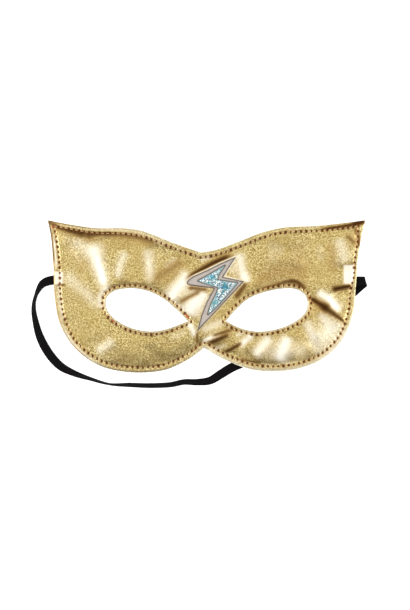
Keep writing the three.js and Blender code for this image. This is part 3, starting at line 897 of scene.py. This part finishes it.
def gold_leather():
    shader = Shader("gold_leather")
    grain = shader.noise(1150, 3, 0.72)
    sand = shader.noise(2600, 1)
    broad = shader.noise(45, 3)
    gold = shader.ramp(grain, [
        (0.4, (0.30, 0.21, 0.06)), (0.5, (0.60, 0.48, 0.19)), (0.59, (0.92, 0.84, 0.49))])
    tone = shader.blend(shader.remap(broad, 0.4, 0.62, 0, 0.45), gold, (0.55, 0.41, 0.15))
    # Painted highlights, painted shade in the folds and along the edge, and painted shade in and round the
    # needle holes are mixed into the gold's colour.
    painted_highlight, painted_shade, seam = (shader.number(name) for name in ("painted_highlight", "painted_shade", "seam"))
    for number, low, high, most, colour in (
            (painted_highlight, 0, 1, 0.92, (0.95, 0.94, 0.87)), (painted_shade, 0, 0.6, 0.8, (0.38, 0.225, 0.07)),
            (painted_shade, 0.35, 1, 1, (0.07, 0.027, 0.006)), (seam, 0.2, 0.6, 0.75, (0.45, 0.24, 0.08)),
            (seam, 0.32, 0.7, 1, (0.10, 0.036, 0.007))):
        tone = shader.blend(shader.remap(number, low, high, 0, most), tone, colour)
    # Painted highlights also lower the metallic share, so that they read white.
    shader.set(Base_Color=tone, Metallic=shader.remap(painted_highlight, 0, 1, 1, 0.55))
    shader.set(Roughness=shader.remap(grain, 0.3, 0.7, 0.4, 0.33), Coat_Roughness=0.25)
    shader.set(Coat_Weight=shader.remap(painted_shade, 0, 1, 0.25, 0.03))
    fine = shader.bump(sand, 0.05, 0.5)
    shader.set(Normal=shader.bump(grain, 0.08, 0.5, fine))
    return shader.material


def felt():
    shader = Shader("lining_felt")
    fibres = shader.noise(900, 4, 0.7)
    clumps = shader.noise(160, 3)
    colour = shader.ramp(fibres, [(0.3, (0.42, 0.40, 0.36)), (0.7, (0.62, 0.60, 0.55))])
    colour = shader.blend(shader.remap(clumps, 0.4, 0.7, 0, 0.4), colour, (0.40, 0.38, 0.34))
    shader.set(Base_Color=colour, Roughness=0.95, Sheen_Weight=0.3, Sheen_Roughness=0.5)
    shader.set(Normal=shader.bump(fibres, 0.35, 0.8))
    return shader.material


def seam_thread():
    shader = Shader("seam_thread")
    twist = shader.noise(2600, 2)
    colour = shader.ramp(twist, [(0.35, (0.42, 0.24, 0.10)), (0.65, (0.68, 0.45, 0.22))])
    colour = shader.blend(shader.number("knot"), colour, (0.42, 0.105, 0.025))
    shader.set(Base_Color=colour, Roughness=0.45, Specular_IOR_Level=0.6)
    shader.set(Normal=shader.bump(twist, 0.1, 0.6))
    return shader.material


def black_elastic():
    shader = Shader("black_elastic")
    along, across = shader.number("along"), shader.number("across")
    weave = shader.math("SINE", shader.math("MULTIPLY", along, 2 * math.pi / WEAVE_LENGTH), 0)
    ribs = shader.math("SINE", shader.math("MULTIPLY", across, 2 * math.pi * STRAP_RIBS / STRAP_WIDTH), 0)
    cloth = shader.math("MULTIPLY", weave, ribs)
    lint = shader.noise(1800, 3)
    colour = shader.ramp(lint, [(0.4, (0.0025, 0.0022, 0.0025)), (0.75, (0.006, 0.0055, 0.006))])
    shader.set(Base_Color=colour, Roughness=0.85, Specular_IOR_Level=0.06)
    shader.set(Normal=shader.bump(cloth, 0.08, 0.7, shader.bump(lint, 0.1, 0.5)))
    return shader.material


def satin_thread():
    shader = Shader("satin_thread")
    lustre = shader.noise(1400, 2)
    colour = shader.ramp(lustre, [(0.3, (0.31, 0.27, 0.25)), (0.7, (0.43, 0.39, 0.36))])
    colour = shader.blend(shader.number("outline"), colour, (0.035, 0.024, 0.018))
    shader.set(Base_Color=colour, Roughness=0.4, Specular_IOR_Level=0.5, Sheen_Weight=0.15)
    shader.set(Normal=shader.bump(lustre, 0.06, 0.5))
    return shader.material


def glitter_vinyl():
    shader = Shader("glitter_vinyl")
    colour = shader.ramp(shader.number("flake"), [
        (0.0, (0.01, 0.08, 0.11)), (0.2, (0.02, 0.19, 0.40)), (0.4, (0.05, 0.38, 0.37)),
        (0.6, (0.26, 0.41, 0.45)), (0.8, (0.66, 0.66, 0.70)), (1.0, (0.98, 0.98, 0.98))])
    shader.set(Base_Color=colour, Metallic=0.4, Roughness=0.25, Coat_Weight=0.4, Coat_Roughness=0.1)
    return shader.material


# The pieces

def make_front(material):
    wide, fine, lower, near_tuck = (hexagon_points(*PANEL_BOX, spacing) for spacing in (
        WIDE_SPACING, FINE_SPACING, LINING_SPACING, TUCK_SPACING))
    wide = wide[least_distance(SEAMS, wide) > FINE_BAND]
    fine = fine[least_distance(SEAMS, fine) <= FINE_BAND]
    near_tuck = near_tuck[least_distance(TUCKS, near_tuck, closed=False) < TUCK_REACH]
    upper = clear_points(COARSE, np.vstack([wide, fine]), 0.25)
    lower = clear_points(COARSE, np.vstack([lower, near_tuck]), 0.8)
    # Per-corner numbers for the gold's painted needle-hole shade, painted highlights and painted shade.
    values = {"seam": painted_hole_shade, "painted_highlight": painted_highlight_tone, "painted_shade": painted_shade_tone}
    return slab("front_gold_leather", outlines(FRONT_STEP), upper, lower, front_top, front_bottom, material,
                ((0.7, 0.1), (0.3, 0.06)), values)


def make_lining(material):
    edge, *eyes = outlines(LINING_STEP)
    loops = [grown(edge, LINING_PROUD), *[grown(eye, -LINING_PROUD) for eye in eyes]]
    inner = clear_points(loops, hexagon_points(*PANEL_BOX, LINING_SPACING), 0.7)
    return slab("back_lining_felt", loops, inner, inner, lining_top, lining_bottom, material, ((0.5, 0.05),))


def tube(points, radii, sides=6):
    """Corners and faces of a tube along a short line, pinched and open at both ends."""
    tangents = np.gradient(points, axis=0)
    tangents /= np.linalg.norm(tangents, axis=1)[:, None]
    across = np.cross(tangents, [0, 0, 1.0])
    across /= np.linalg.norm(across, axis=1)[:, None]
    up = np.cross(across, tangents)
    angles = np.arange(sides) * 2 * math.pi / sides
    outward = across[:, None] * np.cos(angles)[:, None] + up[:, None] * np.sin(angles)[:, None]
    corners = points[:, None] + radii[:, None, None] * outward
    faces = [band(k * sides, (k + 1) * sides, sides) for k in range(len(points) - 1)]
    return corners.reshape(-1, 3), np.vstack(faces)


def knot_lines(seam, spots, random):
    """Short thread ends that lie along the seam at each spot."""
    lines = []
    for *spot, ends in spots:
        k = np.linalg.norm(seam - spot, axis=1).argmin()
        heading = math.atan2(*(seam[(k + 1) % len(seam)] - seam[k - 1])[::-1])
        for _ in range(ends):
            angle = heading + random.normal(0, 0.35)
            reach = np.array([math.cos(angle), math.sin(angle)]) * random.uniform(0.8, 1.8)
            middle = spot + random.normal(0, 0.35, 2)
            lines.append(middle + reach * np.linspace(-1, 1, len(STITCH_SINK))[:, None])
    return np.array(lines)


def make_stitches(name, seam, spots, material):
    shares = np.linspace(*STITCH_SPAN, len(STITCH_SINK))[None, :, None]
    plan = seam[:, None] + (np.roll(seam, -1, axis=0) - seam)[:, None] * shares
    knots = knot_lines(seam, spots, np.random.default_rng(5))
    stitches = len(plan)
    if len(knots):
        plan = np.vstack([plan, knots])
    level = front_top(plan.reshape(-1, 2)).reshape(len(plan), -1)[:, 2:5].mean(axis=1)
    level[stitches:] += KNOT_LIFT
    corners, faces, knotted = [], [], []
    for k, (line, z) in enumerate(zip(plan, level)):
        is_knot = k >= stitches
        radii = THREAD_RADII * (KNOT_THICKNESS if is_knot else 1)
        more, quads = tube(np.column_stack([line, z + STITCH_SINK]), radii)
        faces.append(quads + len(knotted))
        corners.append(more)
        knotted += [float(is_knot)] * len(more)
    return make_mesh(name, np.vstack(corners), np.vstack(faces).tolist(), material, {"knot": knotted})


def border_top(points):
    """Satin threads that arch across the border."""
    out, along, _ = nearest(BOLT_OUTSIDE, points)
    edge = np.minimum(out, nearest(BOLT_INSET, points)[0])
    arch = np.sqrt(np.clip(1 - (1 - np.clip(edge / BORDER_ARCH_RUN, 0, 1)) ** 2, 0, 1))
    threads = np.abs(np.sin(along * math.pi / SATIN_SPACING))
    return bolt_ground(points) + (BORDER_BASE + BORDER_ARCH * arch + SATIN_DEPTH * threads * arch)


def border_outline(points):
    """A dark line along both edges of the border."""
    out, into = (nearest(loop, points)[0] for loop in (BOLT_OUTSIDE, BOLT_INSET))
    return np.maximum(hill(out - 0.2, 0.6), hill(into - 0.15, 0.5))


def make_border(material):
    edges = [BOLT_OUTSIDE, BOLT_INSET]
    cloud = clear_points(edges, points_over(BOLT_OUTSIDE, BORDER_SPACING), 0.1)
    loops = [even_loop(edge, BORDER_STEP) for edge in edges]
    return slab("bolt_satin_border", loops, cloud, cloud[::9], border_top, bolt_ground, material,
                values={"outline": border_outline})


def make_glitter(material):
    """The inset's plate with loose flakes that stand a little above it."""
    random = np.random.default_rng(11)
    loop = even_loop(BOLT_INSET, PLATE_STEP)
    cloud = clear_points([BOLT_INSET], points_over(BOLT_INSET, PLATE_SPACING), 0.25)
    plan, plate = triangulate([loop], cloud)
    start = len(plan)
    z = bolt_ground(plan)
    corners = [np.column_stack([plan, z + PLATE_TOP]), np.column_stack([plan, z + PLATE_UNDERSIDE])]
    faces = [*plate.tolist(), *(plate[:, ::-1] + start).tolist(), *band(start, 0, len(loop)).tolist()]
    colours = [PLATE_COLOUR] * (2 * start)
    spots = points_over(BOLT_INSET, FLAKE_SPACING)
    spots += random.uniform(-FLAKE_JITTER, FLAKE_JITTER, spots.shape)
    spots = clear_points([BOLT_INSET], spots, FLAKE_MARGIN)
    depth = nearest(BOLT_INSET, spots)[0]
    shares = [0.75 * hill(np.linalg.norm(spots - middle, axis=1), reach) for middle, reach, _ in CLUSTERS]
    for spot, inwards, ground, *near in zip(spots, depth, bolt_ground(spots), *shares):
        radius = random.uniform(*FLAKE_RADII)
        tilt = random.normal(0, FLAKE_TILT, 2)
        angles = random.uniform(0, math.pi) + np.arange(FLAKE_SIDES) * 2 * math.pi / FLAKE_SIDES
        outline = np.column_stack([np.cos(angles), np.sin(angles)]) * radius
        top = ground + FLAKE_TOP + outline @ tilt + random.uniform(-0.05, 0.05)
        first = len(colours)
        corners += [np.column_stack([spot + outline, height]) for height in (top, top - FLAKE_THICKNESS)]
        upper = list(range(first, first + FLAKE_SIDES))
        lower = [corner + FLAKE_SIDES for corner in upper]
        faces += [upper, lower[::-1], *band(lower[0], first, FLAKE_SIDES).tolist()]
        colour = random.uniform(-0.15, 1.15) + 0.22 - 0.1 * inwards
        for share, (_, _, gathered) in zip(near, CLUSTERS):
            colour += (gathered - colour) * share
        colours += [np.clip(colour, 0, 1)] * (2 * FLAKE_SIDES)
    values = {"flake": colours}
    return make_mesh("bolt_glitter_flakes", np.vstack(corners), faces, material, values, flat=True)


# Floor and light

def make_floor():
    """A round floor that curves up into a wall far from the mask."""
    angles = np.arange(FLOOR_SIDES) * 2 * math.pi / FLOOR_SIDES
    circle = np.column_stack([np.cos(angles), np.sin(angles), np.zeros(FLOOR_SIDES)])
    corners = np.vstack([circle * radius + (0, 0, height) for radius, height in FLOOR_PROFILE])
    faces = [list(range(FLOOR_SIDES))]
    for low in range(0, len(corners) - FLOOR_SIDES, FLOOR_SIDES):
        faces += band(low + FLOOR_SIDES, low, FLOOR_SIDES).tolist()
    shader = Shader("floor")
    shader.set(Base_Color=(0.5, 0.5, 0.5, 1), Roughness=0.9, Specular_IOR_Level=0.2)
    shader.set(Emission_Color=(1, 1, 1, 1), Emission_Strength=0.9)
    make_mesh("floor", corners / MM, faces, shader.material, flat=True)


def make_panel_light(name, azimuth, off_zenith, distance, size, radiance, colour=(1, 1, 1)):
    """A soft box that faces the mask. Azimuth 0 is towards +X."""
    light = bpy.data.lights.new(name, "AREA")
    light.shape = "RECTANGLE"
    light.size, light.size_y = size
    light.energy = radiance * 4 * size[0] * size[1]
    light.color = colour
    holder = add_object(name, light)
    azimuth, off_zenith = math.radians(azimuth), math.radians(off_zenith)
    back = Vector((math.cos(azimuth) * math.sin(off_zenith), math.sin(azimuth) * math.sin(off_zenith),
                   math.cos(off_zenith)))
    holder.location = back * distance
    holder.rotation_mode = "QUATERNION"
    holder.rotation_quaternion = back.to_track_quat("Z", "Y")
    holder.visible_camera = False
    return holder


def make_world():
    world = bpy.data.worlds.new("studio")
    world.use_nodes = True
    world.node_tree.nodes["Background"].inputs["Color"].default_value = WORLD_COLOUR
    bpy.context.scene.world = world


def make_studio():
    make_floor()
    make_world()
    make_panel_light("top_panel", azimuth=90, off_zenith=9, distance=1.5, size=(0.85, 1.3), radiance=0.86,
                     colour=(1, 0.95, 0.78))
    for side, azimuth in (("left", 180), ("right", 0)):
        box = {"azimuth": azimuth, "off_zenith": 46, "distance": 1.1, "size": (0.9, 0.7)}
        make_panel_light(side + "_soft_box", radiance=2.7, **box)
        make_panel_light(side + "_fill", radiance=2, **box).visible_glossy = False


make_camera()
strap, strap_line = make_strap(black_elastic())
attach(strap, "root")
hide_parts("elastic_strap")

front = make_front(gold_leather())
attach(front, "root")
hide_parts("gold_front")

lining = make_lining(felt())
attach(lining, "root")
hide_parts("back_lining")

thread = seam_thread()
for where, seam, spots in zip(("edge", "left_eye", "right_eye"), SEAMS, KNOTS):
    stitches = make_stitches(where + "_stitches", seam, spots, thread)
    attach(stitches, "root")
    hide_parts(where + "_seam_thread")

border = make_border(satin_thread())
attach(border, "root")
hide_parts("bolt_border")

glitter = make_glitter(glitter_vinyl())
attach(glitter, "root")
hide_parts("bolt_glitter")

make_studio()
